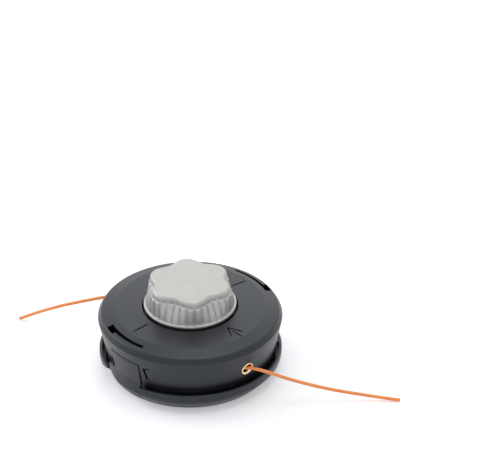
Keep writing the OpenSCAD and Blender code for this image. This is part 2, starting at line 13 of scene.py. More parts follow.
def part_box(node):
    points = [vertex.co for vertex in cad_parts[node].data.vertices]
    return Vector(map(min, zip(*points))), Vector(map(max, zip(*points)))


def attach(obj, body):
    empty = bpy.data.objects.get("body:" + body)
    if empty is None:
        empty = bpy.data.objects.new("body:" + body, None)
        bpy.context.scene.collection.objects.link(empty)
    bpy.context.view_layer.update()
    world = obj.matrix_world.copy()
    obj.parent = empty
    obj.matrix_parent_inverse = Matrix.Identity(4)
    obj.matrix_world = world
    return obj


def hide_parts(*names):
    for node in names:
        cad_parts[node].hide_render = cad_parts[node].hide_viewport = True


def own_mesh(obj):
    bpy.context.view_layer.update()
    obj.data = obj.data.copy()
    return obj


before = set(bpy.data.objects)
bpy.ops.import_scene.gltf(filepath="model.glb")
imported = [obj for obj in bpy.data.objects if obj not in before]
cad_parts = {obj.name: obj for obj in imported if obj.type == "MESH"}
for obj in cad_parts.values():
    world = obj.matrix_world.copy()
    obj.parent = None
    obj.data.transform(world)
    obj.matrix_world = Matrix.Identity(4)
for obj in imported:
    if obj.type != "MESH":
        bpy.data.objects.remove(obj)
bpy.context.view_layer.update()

log = logging.getLogger("trimmer_head")

MM = 0.001
Colour = Tuple[float, float, float]
Point = Tuple[float, float, float]
Band = Tuple[float, float]
Operand = Union["Sock", float]
Station = Tuple[float, Callable[[float], float]]


# Shader maths

class Sock:
    """A value socket that takes part in Python arithmetic; each operation adds a Math node."""

    def __init__(self, graph: "Graph", socket: bpy.types.NodeSocket) -> None:
        """Keeps the graph that new nodes go into, and the socket itself."""
        self.graph = graph
        self.socket = socket

    def _math(self, operation: str, left: Operand, right: Operand = 0.0) -> "Sock":
        """Adds one Math node.

        Args:
            operation: the node's operation.
            left: the first operand.
            right: the second operand, where the operation has one.

        Returns:
            The node's value.
        """
        made = self.graph.node("ShaderNodeMath", {"operation": operation}, {0: left, 1: right})
        return Sock(self.graph, made.outputs[0])

    def __add__(self, other: Operand) -> "Sock":
        """Returns self + other."""
        return self._math("ADD", self, other)

    def __radd__(self, other: Operand) -> "Sock":
        """Returns other + self."""
        return self._math("ADD", other, self)

    def __sub__(self, other: Operand) -> "Sock":
        """Returns self - other."""
        return self._math("SUBTRACT", self, other)

    def __rsub__(self, other: Operand) -> "Sock":
        """Returns other - self."""
        return self._math("SUBTRACT", other, self)

    def __mul__(self, other: Operand) -> "Sock":
        """Returns self * other."""
        return self._math("MULTIPLY", self, other)

    def __rmul__(self, other: Operand) -> "Sock":
        """Returns other * self."""
        return self._math("MULTIPLY", other, self)

    def __truediv__(self, other: Operand) -> "Sock":
        """Returns self / other."""
        return self._math("DIVIDE", self, other)

    def __rtruediv__(self, other: Operand) -> "Sock":
        """Returns other / self."""
        return self._math("DIVIDE", other, self)

    def __pow__(self, other: Operand) -> "Sock":
        """Returns self ** other."""
        return self._math("POWER", self, other)

    def sine(self) -> "Sock":
        """Returns the sine of the value."""
        return self._math("SINE", self)

    def larger(self, other: Operand) -> "Sock":
        """Returns the larger of the two values."""
        return self._math("MAXIMUM", self, other)

    def between(self, low: float, high: float) -> "Sock":
        """Eases the value from 0 at low to 1 at high.

        Args:
            low: the value that gives 0.
            high: the value that gives 1.

        Returns:
            The eased value, held from 0 to 1.
        """
        made = self.graph.node("ShaderNodeMapRange", {"interpolation_type": "SMOOTHSTEP"},
                               {0: self, 1: low, 2: high, 3: 0.0, 4: 1.0})
        return Sock(self.graph, made.outputs[0])


class Graph:
    """A node tree with one way to add a node."""
    layer_strength = 0.55

    def __init__(self, tree: bpy.types.NodeTree) -> None:
        """Takes over a tree and empties it."""
        self.tree = tree
        self.tree.nodes.clear()

    def node(self, kind: str, settings: Optional[Dict[str, object]] = None,
             inputs: Optional[Dict[Union[int, str], object]] = None) -> bpy.types.Node:
        """Adds a node.

        Args:
            kind: the node's type.
            settings: its properties, which are set first.
            inputs: values or links for its sockets, by name or place.

        Returns:
            The new node.
        """
        made = self.tree.nodes.new(kind)
        for name, value in (settings or {}).items():
            setattr(made, name, value)
        for key, value in (inputs or {}).items():
            source = value.socket if isinstance(value, Sock) else value
            if isinstance(source, bpy.types.NodeSocket):
                self.tree.links.new(source, made.inputs[key])
            else:
                made.inputs[key].default_value = source
        return made

    def value(self, kind: str, settings: Optional[Dict[str, object]] = None,
              inputs: Optional[Dict[Union[int, str], object]] = None, output: Union[int, str] = 0) -> Sock:
        """Adds a node as node() does, and returns one of its outputs for use in expressions."""
        return Sock(self, self.node(kind, settings, inputs).outputs[output])

    def place(self) -> bpy.types.NodeSocket:
        """Returns the point on the piece, in metres."""
        return self.node("ShaderNodeTexCoord").outputs["Object"]

    def axes(self) -> Tuple[Sock, Sock, Sock]:
        """Returns the point's three coordinates, in metres."""
        split = self.node("ShaderNodeSeparateXYZ", inputs={0: self.place()})
        return Sock(self, split.outputs[0]), Sock(self, split.outputs[1]), Sock(self, split.outputs[2])

    def stretched(self, along: Point) -> bpy.types.NodeSocket:
        """Returns the point with each coordinate multiplied, for noise that runs in one direction."""
        made = self.node("ShaderNodeVectorMath", {"operation": "MULTIPLY"}, {0: self.place(), 1: along})
        return made.outputs[0]

    def noise(self, size: float, detail: float = 3.0,
              where: Optional[bpy.types.NodeSocket] = None) -> Sock:
        """Adds noise, in which each finer layer has layer_strength times the strength of the last.

        Args:
            size: the width of its largest blots, in metres.
            detail: the number of finer layers.
            where: the point it is taken at, or None for the point on the piece.

        Returns:
            The noise, about 0.5 on average.
        """
        return self.value("ShaderNodeTexNoise", inputs={"Vector": where or self.place(), "Scale": 1 / size,
                                                        "Detail": detail, "Roughness": self.layer_strength})

    def blend(self, first: Colour, second: Colour, factor: Sock) -> bpy.types.NodeSocket:
        """Returns the first colour where the factor is 0, and the second where it is 1."""
        made = self.node("ShaderNodeMix", {"data_type": "RGBA"},
                         {0: factor, 6: (*first, 1.0), 7: (*second, 1.0)})
        return made.outputs[2]

    def relief(self, height: Sock, depth: float, under: Optional[bpy.types.NodeSocket] = None
               ) -> bpy.types.NodeSocket:
        """Returns a normal that follows a height.

        Args:
            height: the height, from 0 to 1.
            depth: what 1 stands for, in metres.
            under: a normal that this one adds to.
        """
        inputs: Dict[Union[int, str], object] = {"Height": height, "Distance": depth, "Strength": 1.0}
        if under is not None:
            inputs["Normal"] = under
        return self.node("ShaderNodeBump", inputs=inputs).outputs[0]


def linear(red: int, green: int, blue: int) -> Colour:
    """Turns a colour as a screen shows it, from 0 to 255, into the shader's own numbers."""
    def channel(value: float) -> float:
        """Turns one channel, from 0 to 1."""
        return value / 12.92 if value <= 0.04045 else ((value + 0.055) / 1.055) ** 2.4
    return channel(red / 255), channel(green / 255), channel(blue / 255)


# Finishes

class Body(Enum):
    """The bodies that new pieces ride on."""
    ROOT = "root"
    SPOOL = "spool"


class Slot(Enum):
    """The record's material slots."""
    BLACK_PLASTIC = "black_plastic"
    SPOOL_PLASTIC = "spool_plastic"
    CAST_ALUMINIUM = "cast_aluminium"
    EYELET_METAL = "eyelet_metal"
    STEEL = "steel"
    ORANGE_LINE = "orange_line"


@dataclass(frozen=True)
class Finish(ABC):
    """A finish: a colour and its variation, a roughness and its spread, and the slot it belongs to."""
    name: str
    slot: Slot
    colour: Colour
    variation: Colour
    roughness: float
    spread: float

    @abstractmethod
    def surface(self, graph: Graph) -> Dict[Union[int, str], object]:
        """Returns what this finish puts on the shader's sockets."""

    def material(self) -> bpy.types.Material:
        """Builds the material."""
        made = bpy.data.materials.new(self.name)
        made.use_nodes = True
        graph = Graph(made.node_tree)
        shader = graph.node("ShaderNodeBsdfPrincipled", inputs=self.surface(graph))
        graph.node("ShaderNodeOutputMaterial", inputs={"Surface": shader.outputs[0]})
        return made


@dataclass(frozen=True)
class MouldedNylon(Finish):
    """Injection-moulded nylon: a fine eroded texture, faint flow marks, and scattered scuffs."""
    grain: float = 0.5 * MM
    grain_depth: float = 0.03 * MM
    flow_size: float = 14 * MM
    flow_along: Point = (1.0, 1.0, 2.5)
    flow_tones: Band = (0.3, 0.7)
    scuff: float = 0.35
    scuff_size: float = 1.6 * MM
    scuff_along: Point = (1.0, 0.12, 0.5)
    scuff_lines: Band = (0.63, 0.72)
    scuff_areas: Band = (0.5, 0.62)
    scuff_roughness: float = 0.08
    sheen: Colour = (0.85, 0.915, 1.0)
    ior: float = 1.53

    def surface(self, graph: Graph) -> Dict[Union[int, str], object]:
        """Returns colour, roughness, normal and the tint of reflections."""
        fine = graph.noise(self.grain, detail=2.0)
        flow = graph.noise(self.flow_size, detail=2.0, where=graph.stretched(self.flow_along))
        lines = graph.noise(self.scuff_size, detail=4.0, where=graph.stretched(self.scuff_along))
        scuffs = lines.between(*self.scuff_lines) * flow.between(*self.scuff_areas)
        tone = flow.between(*self.flow_tones) * (1 - self.scuff) + scuffs * self.scuff
        rough = (self.roughness + (flow - 0.5) * self.spread + (fine - 0.5) * self.spread
                 + scuffs * self.scuff_roughness)
        return {"Base Color": graph.blend(self.colour, self.variation, tone), "Roughness": rough,
                "Normal": graph.relief(fine, self.grain_depth), "IOR": self.ior,
                "Specular Tint": (*self.sheen, 1.0)}


@dataclass(frozen=True)
class CastAlloy(Finish):
    """Bead-blasted die-cast alloy: an even grain with small pores that are duller than the rest."""
    grain: float = 0.7 * MM
    grain_depth: float = 0.06 * MM
    grain_tones: Band = (0.35, 0.65)
    cloud_size: float = 6 * MM
    cloud_tones: Band = (0.3, 0.72)
    cloud_share: float = 0.6
    pore_size: float = 1.1 * MM
    pore_edge: Band = (0.66, 0.74)
    pore_depth: float = 0.8
    pore_dulling: float = 0.4
    metallic: float = 0.75

    def surface(self, graph: Graph) -> Dict[Union[int, str], object]:
        """Returns colour, roughness, metal share and normal."""
        fine = graph.noise(self.grain)
        cloud = graph.noise(self.cloud_size)
        pores = graph.noise(self.pore_size, detail=1.0).between(*self.pore_edge)
        rough = self.roughness + (cloud - 0.5) * self.spread + (fine - 0.5) * self.spread
        tone = (cloud.between(*self.cloud_tones) * self.cloud_share
                + fine.between(*self.grain_tones) * (1 - self.cloud_share))
        return {"Base Color": graph.blend(self.colour, self.variation, tone), "Roughness": rough,
                "Metallic": self.metallic - pores * self.pore_dulling,
                "Normal": graph.relief(fine - pores * self.pore_depth, self.grain_depth)}


@dataclass(frozen=True)
class TurnedMetal(Finish):
    """Turned or drawn metal: fine rings about the head's axis, and a slight tarnish."""
    pitch: float = 0.4 * MM
    depth: float = 0.006 * MM
    rise: float = 0.7
    ring_roughness: float = 0.03
    tarnish_size: float = 5 * MM
    tarnish_tones: Band = (0.42, 0.7)

    def surface(self, graph: Graph) -> Dict[Union[int, str], object]:
        """Returns colour, roughness and normal of bare metal."""
        x, y, z = graph.axes()
        radius = (x * x + y * y) ** 0.5
        rings = ((radius + z * self.rise) * (2 * math.pi / self.pitch)).sine() * 0.5 + 0.5
        tarnish = graph.noise(self.tarnish_size, detail=4.0)
        tone = tarnish.between(*self.tarnish_tones)
        return {"Base Color": graph.blend(self.colour, self.variation, tone),
                "Roughness": self.roughness + (tarnish - 0.5) * self.spread + rings * self.ring_roughness,
                "Metallic": 1.0, "Normal": graph.relief(rings, self.depth)}


@dataclass(frozen=True)
class ExtrudedLine(Finish):
    """Extruded nylon line: a gloss skin over a clear orange core, with draw marks."""
    mark_size: float = 2.2 * MM
    mark_depth: float = 0.02 * MM
    mark_tones: Band = (0.35, 0.7)
    gloss: float = 0.25
    gloss_spread: float = 0.2
    ior: float = 1.53

    def surface(self, graph: Graph) -> Dict[Union[int, str], object]:
        """Returns colour, roughness, gloss skin and normal."""
        marks = graph.noise(self.mark_size)
        return {"Base Color": graph.blend(self.colour, self.variation, marks.between(*self.mark_tones)),
                "Roughness": self.roughness + (marks - 0.5) * self.spread,
                "Coat Weight": self.gloss + marks * self.gloss_spread,
                "Normal": graph.relief(marks, self.mark_depth), "IOR": self.ior}


BLACK_NYLON = MouldedNylon("black_nylon", Slot.BLACK_PLASTIC, linear(16, 17, 20), linear(23, 24, 27),
                           roughness=0.36, spread=0.08)
SPOOL_NYLON = MouldedNylon("spool_nylon", Slot.SPOOL_PLASTIC, linear(52, 54, 58), linear(64, 66, 70),
                           roughness=0.48, spread=0.1)
CAST_ALLOY = CastAlloy("cast_alloy", Slot.CAST_ALUMINIUM, linear(178, 176, 173), linear(187, 185, 182),
                       roughness=0.46, spread=0.1)
BRASS = TurnedMetal("eyelet_brass", Slot.EYELET_METAL, linear(247, 222, 184), linear(232, 198, 152),
                    roughness=0.15, spread=0.1)
STEEL = TurnedMetal("bright_steel", Slot.STEEL, linear(190, 192, 196), linear(160, 161, 164),
                    roughness=0.3, spread=0.16)
ORANGE_NYLON = ExtrudedLine("orange_nylon", Slot.ORANGE_LINE, linear(255, 136, 52), linear(255, 158, 80),
                            roughness=0.26, spread=0.1)


class Wardrobe:
    """Keeps one material for each finish."""

    def __init__(self) -> None:
        """Starts with no material made."""
        self._made: Dict[str, bpy.types.Material] = {}

    def dress(self, piece: bpy.types.Object, finish: Finish) -> None:
        """Puts a finish on a piece or a node.

        Args:
            piece: a mesh or curve object.
            finish: what it gets.
        """
        if finish.name not in self._made:
            self._made[finish.name] = finish.material()
        piece.data.materials.clear()
        piece.data.materials.append(self._made[finish.name])


# Meshes

def smooth_path(route: Sequence[Point], steps: int) -> List[Vector]:
    """Passes a smooth curve through a route.

    Args:
        route: its points.
        steps: the number of short straight pieces between two of them.

    Returns:
        The curve's points, from the first of the route to the last.
    """
    points = [Vector(p) for p in route]
    ends = [2 * points[0] - points[1], *points, 2 * points[-1] - points[-2]]
    path: List[Vector] = []
    for a, b, c, d in zip(ends, ends[1:], ends[2:], ends[3:]):
        for k in range(steps):
            t = k / steps
            path.append(0.5 * (2 * b + (c - a) * t + (2 * a - 5 * b + 4 * c - d) * t * t
                               + (3 * b - a - 3 * c + d) * t * t * t))
    return path + [points[-1]]


def path_length(path: Sequence[Vector]) -> float:
    """Returns the length of a path along its points."""
    return sum((b - a).length for a, b in zip(path, path[1:]))


def arc(centre: Tuple[float, float], radius: float, start: float, end: float, steps: int
        ) -> List[Tuple[float, float]]:
    """Returns points on an arc, from one angle to another, both in degrees."""
    angles = [math.radians(start + (end - start) * k / steps) for k in range(steps + 1)]
    return [(centre[0] + radius * math.cos(t), centre[1] + radius * math.sin(t)) for t in angles]


class Skin:
    """The points and faces of one piece, gathered ring by ring."""

    def __init__(self) -> None:
        """Starts with no point."""
        self.points: List[Point] = []
        self.faces: List[Tuple[int, ...]] = []

    def rings(self, rings: Sequence[Sequence[Point]], capped: bool = True) -> None:
        """Joins closed rings, each to the next, with four-sided faces.

        Args:
            rings: the rings, all with as many points.
            capped: True puts a face on the first and the last, and False joins the last to the first.
        """
        first = len(self.points)
        count = len(rings[0])
        for ring in rings:
            self.points.extend(tuple(point) for point in ring)
        starts = [first + count * i for i in range(len(rings))]
        for low, high in zip(starts, starts[1:] if capped else starts[1:] + starts[:1]):
            for k in range(count):
                m = (k + 1) % count
                self.faces.append((low + k, low + m, high + m, high + k))
        if capped:
            self.faces.append(tuple(range(starts[0], starts[0] + count)))
            self.faces.append(tuple(range(starts[-1], starts[-1] + count)))

    def stations(self, stations: Sequence[Station], steps: int, capped: bool = True,
                 centre: Tuple[float, float] = (0.0, 0.0)) -> None:
        """Joins rings about an upright axis.

        Args:
            stations: for each ring its height, and its radius as a function of the angle.
            steps: the number of points in a ring.
            capped: as for rings().
            centre: where the axis stands.
        """
        angles = [2 * math.pi * k / steps for k in range(steps)]
        self.rings([[(centre[0] + radius(t) * math.cos(t), centre[1] + radius(t) * math.sin(t), z)
                     for t in angles] for z, radius in stations], capped)

    def tube(self, path: Sequence[Vector], radius: float, sides: int) -> None:
        """Sweeps a round wire along a path that turns about the head's axis."""
        rings = []
        for i, here in enumerate(path):
            along = (path[min(i + 1, len(path) - 1)] - path[max(i - 1, 0)]).normalized()
            out = Vector((here.x, here.y, 0)).normalized()
            up = along.cross(out)
            rings.append([here + radius * (math.cos(t) * out + math.sin(t) * up)
                          for t in (2 * math.pi * k / sides for k in range(sides))])
        self.rings(rings)

    def piece(self, name: str, sharp: float = 30.0) -> bpy.types.Object:
        """Makes the piece, shaded smooth except at edges sharper than an angle in degrees."""
        mesh = bpy.data.meshes.new(name)
        mesh.from_pydata(self.points, [], self.faces)
        work = bmesh.new()
        work.from_mesh(mesh)
        bmesh.ops.recalc_face_normals(work, faces=work.faces)
        work.to_mesh(mesh)
        work.free()
        mesh.shade_smooth()
        mesh.set_sharp_from_angle(angle=math.radians(sharp))
        made = bpy.data.objects.new(name, mesh)
        bpy.context.scene.collection.objects.link(made)
        return made


def level(radius: float) -> Callable[[float], float]:
    """Returns the radius function of a plain circle."""
    return lambda angle: radius


def disc(z: float, radius: float) -> Station:
    """Returns a station that is a plain circle."""
    return z, level(radius)


# Sub-assemblies

@dataclass
class SubAssembly(ABC):
    """A group of the head's pieces that is built and dressed together."""
    wardrobe: Wardrobe

    @abstractmethod
    def build(self) -> List[str]:
        """Builds and dresses the pieces, and returns their names."""

    def dress_nodes(self, finish: Finish, *names: str) -> List[str]:
        """Dresses nodes of the frame with one finish, and returns their names."""
        for name in names:
            self.wardrobe.dress(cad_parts[name], finish)
        return list(names)

    def seat(self, piece: bpy.types.Object, body: Body, finish: Finish, *nodes: str) -> str:
        """Dresses a new piece and puts it on its body in the place of nodes.

        Args:
            piece: the new piece.
            body: the body that it rides on.
            finish: what it gets.
            nodes: the nodes that it stands for.

        Returns:
            The piece's name.
        """
        self.wardrobe.dress(piece, finish)
        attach(piece, body.value)
        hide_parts(*nodes)
        return piece.name


@dataclass
class Housing(SubAssembly):
    """The base dish with its snap ears, and the shell."""

    def build(self) -> List[str]:
        """Dresses the housing's nodes."""
        return self.dress_nodes(BLACK_NYLON, "base_dish", "shell")


@dataclass
class Eyelets(SubAssembly):
    """The two turned eyelets, each with a rolled lip and a mouth that opens like a bell.

    They stand square to the shell's skirt, which starts at skirt_z with the radius skirt_r and leans
    outwards by skirt_out over its height, and their lips stand out of it by stand.
    """
    hole_r: float = 3.0 * MM
    crest_r: float = 4.5 * MM
    lip_r: float = 5.0 * MM
    lip_t: float = 1.0 * MM
    body_r: float = 4.0 * MM
    length: float = 3.8 * MM
    edge: float = 0.4 * MM
    stand: float = 0.75 * MM
    height: float = 27.0 * MM
    skirt_r: float = 60.0 * MM
    skirt_z: float = 16.8 * MM
    skirt_h: float = 24.2 * MM
    skirt_out: float = 5.0 * MM
    steps: int = 72

    def build(self) -> List[str]:
        """Builds both eyelets."""
        return [self._eyelet("rolled_eyelet_right", "eyelet_right", 1),
                self._eyelet("rolled_eyelet_left", "eyelet_left", -1)]

    def _section(self) -> List[Tuple[float, float]]:
        """Returns radius and distance from the inner end, through the bore, over the lip and back."""
        bell = self.crest_r - self.hole_r
        mouth = arc((self.crest_r, self.length - bell), bell, 180, 90, 12)
        roll = arc((self.lip_r - self.edge, self.length - self.edge), self.edge, 90, 0, 5)
        under = self.length - self.lip_t
        return ([(self.hole_r, self.edge)] + mouth + roll + [(self.lip_r, under), (self.body_r, under)]
                + arc((self.body_r - self.edge, self.edge), self.edge, 0, -90, 4)
                + arc((self.hole_r + self.edge, self.edge), self.edge, -90, -180, 4)[:-1])

    def _eyelet(self, name: str, node: str, side: int) -> str:
        """Builds one eyelet square to the leaning skirt.

        Args:
            name: the piece's name.
            node: the frame's node that it stands for.
            side: 1 for the eyelet on +X, -1 for the one on -X.

        Returns:
            The piece's name.
        """
        lean = math.atan2(self.skirt_out, self.skirt_h)
        skirt_here = self.skirt_r + self.skirt_out * (self.height - self.skirt_z) / self.skirt_h
        out = Vector((side * math.cos(lean), 0, -math.sin(lean)))
        across = Vector((0, side, 0))
        up = out.cross(across)
        inner_end = Vector((side * skirt_here, 0, self.height)) + out * (self.stand - self.length)
        skin = Skin()
        skin.rings([[inner_end + out * along + radius * (math.cos(t) * across + math.sin(t) * up)
                     for t in (2 * math.pi * k / self.steps for k in range(self.steps))]
                    for radius, along in self._section()], capped=False)
        return self.seat(skin.piece(name, sharp=35), Body.ROOT, BRASS, node)


@dataclass
class ArborNut(SubAssembly):
    """The steel nut: a hexagon with chamfered corners and a cut thread."""
    across_flats: float = 17.0 * MM
    chamfer: float = 0.9 * MM
    chamfer_slope: float = math.radians(30)
    thread_r: float = 4.33 * MM
    thread_depth: float = 0.66 * MM
    pitch: float = 1.25 * MM
    lead_in: float = 0.7 * MM
    steps: int = 180
    layers_a_turn: int = 8

    def build(self) -> List[str]:
        """Builds the nut in the pocket's place."""
        low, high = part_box("arbor_nut")
        skin = Skin()
        stations = self._outside(low[2], high[2]) + self._thread(low[2], high[2])
        skin.stations(stations, self.steps, capped=False)
        return [self.seat(skin.piece("threaded_nut"), Body.ROOT, STEEL, "arbor_nut")]

    def _hexagon(self, limit: float) -> Callable[[float], float]:
        """Returns the hexagon's radius at an angle, cut off at a limit."""
        sixth = math.pi / 3
        return lambda angle: min(limit, self.across_flats / 2 / math.cos(angle % sixth - sixth / 2))

    def _outside(self, low: float, high: float) -> List[Station]:
        """Returns the rings from the upper face over the corners to the lower face."""
        corner = self.across_flats / 2 / math.cos(math.pi / 6)
        face = corner - self.chamfer
        drop = self.chamfer * math.tan(self.chamfer_slope)
        return [(high, self._hexagon(face)), (high - drop, self._hexagon(corner)),
                (low + drop, self._hexagon(corner)), (low, self._hexagon(face))]

    def _thread(self, low: float, high: float) -> List[Station]:
        """Returns the rings up the bore, which rise and fall with the thread."""
        count = round((high - low) / self.pitch * self.layers_a_turn)
        stations: List[Station] = [disc(low, self.thread_r + self.lead_in)]
        for k in range(1, count):
            z = low + (high - low) * k / count
            lead = max(0.0, self.lead_in - min(z - low, high - z))
            stations.append((z, self._groove(z, lead)))
        return stations + [disc(high, self.thread_r + self.lead_in)]

    def _groove(self, z: float, lead: float) -> Callable[[float], float]:
        """Returns the bore's radius at an angle for one height."""
        def radius(angle: float) -> float:
            """Returns the radius, from the crest to the root of the thread."""
            turn = (z / self.pitch - angle / (2 * math.pi)) % 1
            return self.thread_r + max(lead, self.thread_depth * (1 - abs(2 * turn - 1)))
        return radius


@dataclass
class BumpKnob(SubAssembly):
    """The cast knob: a lobed cap over a ribbed grip, on a round flange, and hollow underneath."""
    lobes: int = 6
    turn: float = math.radians(27)
    lobe_r: float = 29.6 * MM
    hollow_r: float = 25.0 * MM
    grip_r: float = 30.2 * MM
    lobe_power: float = 0.85
    scoop_power: float = 1.4
    flange_r: float = 32.6 * MM
    flange_t: float = 2.0 * MM
    flange_round: float = 0.8 * MM
    flange_under: float = 0.5 * MM
    foot_round: float = 0.5 * MM
    rib_fade: float = 3.0 * MM
    top_round: float = 2.3 * MM
    top_rings: Sequence[float] = (0.03, 0.3, 0.6, 0.85, 0.96)
    rib_end: float = 5.2 * MM
    rib_depth: float = 1.0 * MM
    rib_nose: float = 1.5 * MM
    ribs: int = 36
    groove_half: float = math.radians(0.8)
    groove_side: float = math.radians(1.0)
    wall: float = 3.0 * MM
    ceiling_round: float = 1.0 * MM
    bosses: int = 3
    boss_turn: float = math.radians(24)
    boss_circle: float = 22.3 * MM
    boss_r: float = 4.4 * MM
    boss_h: float = 12.0 * MM
    steps: int = 720

    def build(self) -> List[str]:
        """Builds the knob on the spool's neck."""
        low, high = (corner[2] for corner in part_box("bump_knob"))
        skin = Skin()
        skin.stations(self._cap(high) + self._grip(low + self.flange_t, high) + self._flange(low)
                      + self._inside(low, high), self.steps)
        return [self.seat(skin.piece("lobed_knob", sharp=38), Body.SPOOL, CAST_ALLOY, "bump_knob")]

    def _cap_r(self, angle: float) -> float:
        """Returns the cap's radius at an angle."""
        share = (0.5 + 0.5 * math.cos(self.lobes * (angle - self.turn))) ** self.lobe_power
        return self.hollow_r + (self.lobe_r - self.hollow_r) * share

    def _rib(self, angle: float) -> float:
        """Returns how far the ribs stand out at an angle, from 0 in a groove to 1.

        A groove runs down from the crown of each lobe.
        """
        pitch = 2 * math.pi / self.ribs
        from_groove = abs((angle - self.turn + pitch / 2) % pitch - pitch / 2)
        share = min(max((from_groove - self.groove_half) / self.groove_side, 0.0), 1.0)
        return share * share * (3 - 2 * share)

    def _cap(self, top: float) -> List[Station]:
        """Returns the rings from the middle of the top over its rounded edge."""
        def drawn_in(share: float, inset: float) -> Callable[[float], float]:
            """Returns the cap's outline, made smaller and drawn in."""
            return lambda angle: share * (self._cap_r(angle) - inset)
        flat = [(top, drawn_in(share, self.top_round)) for share in self.top_rings]
        edge = [(top - self.top_round + z, drawn_in(1, self.top_round - x))
                for x, z in arc((0, 0), self.top_round, 90, 0, 10)]
        return flat + edge

    def _grip(self, foot: float, top: float) -> List[Station]:
        """Returns the rings down the ribbed wall, from under the cap's edge to the flange."""
        rib_top = top - self.rib_end
        nose = [(rib_top - self.rib_nose + z, x / self.rib_nose)
                for x, z in arc((0, 0), self.rib_nose, 90, 0, 6)]
        length = rib_top - self.rib_nose - foot
        wall = [(foot + length * (1 - k / 10), 1.0) for k in range(1, 10)]
        return [(z, self._grip_ring((z - foot) / (rib_top - foot), share)) for z, share in nose + wall]

    def _grip_ring(self, height: float, share: float) -> Callable[[float], float]:
        """Returns the wall's radius at an angle.

        Args:
            height: the place between the foot, at 0, and the ribs' tops, at 1.
            share: how much of the ribs stands out there.
        """
        scoop = max(height, 0.0) ** self.scoop_power
        return lambda angle: (self.grip_r + (self._cap_r(angle) - self.grip_r) * scoop
                              + share * self.rib_depth * self._rib(angle))

    def _flange(self, low: float) -> List[Station]:
        """Returns the rings over the flange and under it."""
        foot = low + self.flange_t
        fillet = [(foot + self.foot_round * (1 - math.sin(t)), self.foot_round * (1 - math.cos(t)))
                  for t in (math.pi / 2 * k / 4 for k in range(5))]
        rings: List[Station] = [(z, self._foot_ring(out)) for z, out in fillet]
        upper = (self.flange_r - self.flange_round, foot - self.flange_round)
        lower = (self.flange_r - self.flange_under, low + self.flange_under)
        edge = arc(upper, self.flange_round, 90, 0, 6) + arc(lower, self.flange_under, 0, -90, 5)
        return rings + [disc(z, x) for x, z in edge]

    def _foot_ring(self, out: float) -> Callable[[float], float]:
        """Returns the ribbed wall's radius at its foot, moved out by a distance."""
        depth = self.rib_depth * (1 - out / self.rib_fade)
        return lambda angle: self.grip_r + depth * self._rib(angle) + out

    def _inside(self, low: float, top: float) -> List[Station]:
        """Returns the rings up the hollow, past the screw bosses, and across its ceiling."""
        inside_r = self.hollow_r - self.wall
        ceiling = top - self.wall
        corner = (inside_r - self.ceiling_round, ceiling - self.ceiling_round)
        fillet = [disc(z, x) for x, z in arc(corner, self.ceiling_round, 0, 90, 4)]
        bosses = self._boss_ring(inside_r)
        return ([(low, bosses), (low + self.boss_h, bosses), disc(low + self.boss_h, inside_r)]
                + fillet + [disc(ceiling, inside_r / 2), disc(ceiling, self.ceiling_round)])

    def _boss_ring(self, inside_r: float) -> Callable[[float], float]:
        """Returns the hollow's radius at an angle, drawn in where a boss stands."""
        share = 2 * math.pi / self.bosses
        reach = math.asin(self.boss_r / self.boss_circle)

        def radius(angle: float) -> float:
            """Returns the radius of the near side of the boss, or of the wall."""
            off = (angle - self.boss_turn + share / 2) % share - share / 2
            if abs(off) >= reach:
                return inside_r
            near = (self.boss_circle * math.cos(off)
                    - math.sqrt(self.boss_r ** 2 - (self.boss_circle * math.sin(off)) ** 2))
            return min(inside_r, near)
        return radius


@dataclass
class KnobScrews(SubAssembly):
    """Three pan-head screws with a cross recess, up through the spool's neck into the knob."""
    count: int = 3
    turn: float = math.radians(24)
    circle: float = 22.3 * MM
    head_r: float = 3.6 * MM
    head_h: float = 2.4 * MM
    head_round: float = 1.2 * MM
    shaft_r: float = 2.0 * MM
    thread_depth: float = 0.35 * MM
    pitch: float = 1.4 * MM
    arm: float = 1.9 * MM
    arm_half: float = 0.42 * MM
    recess: float = 1.5 * MM
    recess_taper: float = 0.35
    head_flat: float = 0.62
    crest: Band = (0.4, 0.55)
    point: float = 0.6
    steps: int = 96

    def build(self) -> List[str]:
        """Builds the three screws as one piece."""
        low, high = (corner[2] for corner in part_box("knob_screws"))
        skin = Skin()
        for k in range(self.count):
            t = self.turn + 2 * math.pi * k / self.count
            skin.stations(self._screw(low, high), self.steps,
                          centre=(self.circle * math.cos(t), self.circle * math.sin(t)))
        return [self.seat(skin.piece("cross_head_screws", sharp=35), Body.SPOOL, STEEL, "knob_screws")]

    def _cross(self, share: float) -> Callable[[float], float]:
        """Returns the recess's radius at an angle, for a share of its size at the mouth."""
        def radius(angle: float) -> float:
            """Returns the radius along an arm, or in the corner between two."""
            off = abs((angle + math.pi / 4) % (math.pi / 2) - math.pi / 4)
            if off < math.atan2(self.arm_half, self.arm):
                return share * self.arm / math.cos(off)
            return share * self.arm_half / math.sin(off)
        return radius

    def _screw(self, low: float, high: float) -> List[Station]:
        """Returns a screw's rings, from the bottom of its recess over the head to the point."""
        top = low + self.head_h
        dome_centre = (self.head_r - self.head_round, low + self.head_round)
        dome = [disc(z, x) for x, z in arc(dome_centre, self.head_round, -90, 0, 5)]
        rings: List[Station] = [(low + self.recess, self._cross(self.recess_taper))]
        rings.append((low, self._cross(1.0)))
        rings += [disc(low, self.head_r * self.head_flat)] + dome
        rings += [disc(top, self.head_r), disc(top, self.shaft_r)]
        turns = int((high - top) / self.pitch)
        for k in range(turns):
            base = high - (turns - k) * self.pitch
            rings.append(disc(base, self.shaft_r - self.thread_depth))
            rings += [disc(base + self.pitch * share, self.shaft_r) for share in self.crest]
        return rings + [disc(high, self.shaft_r * self.point)]


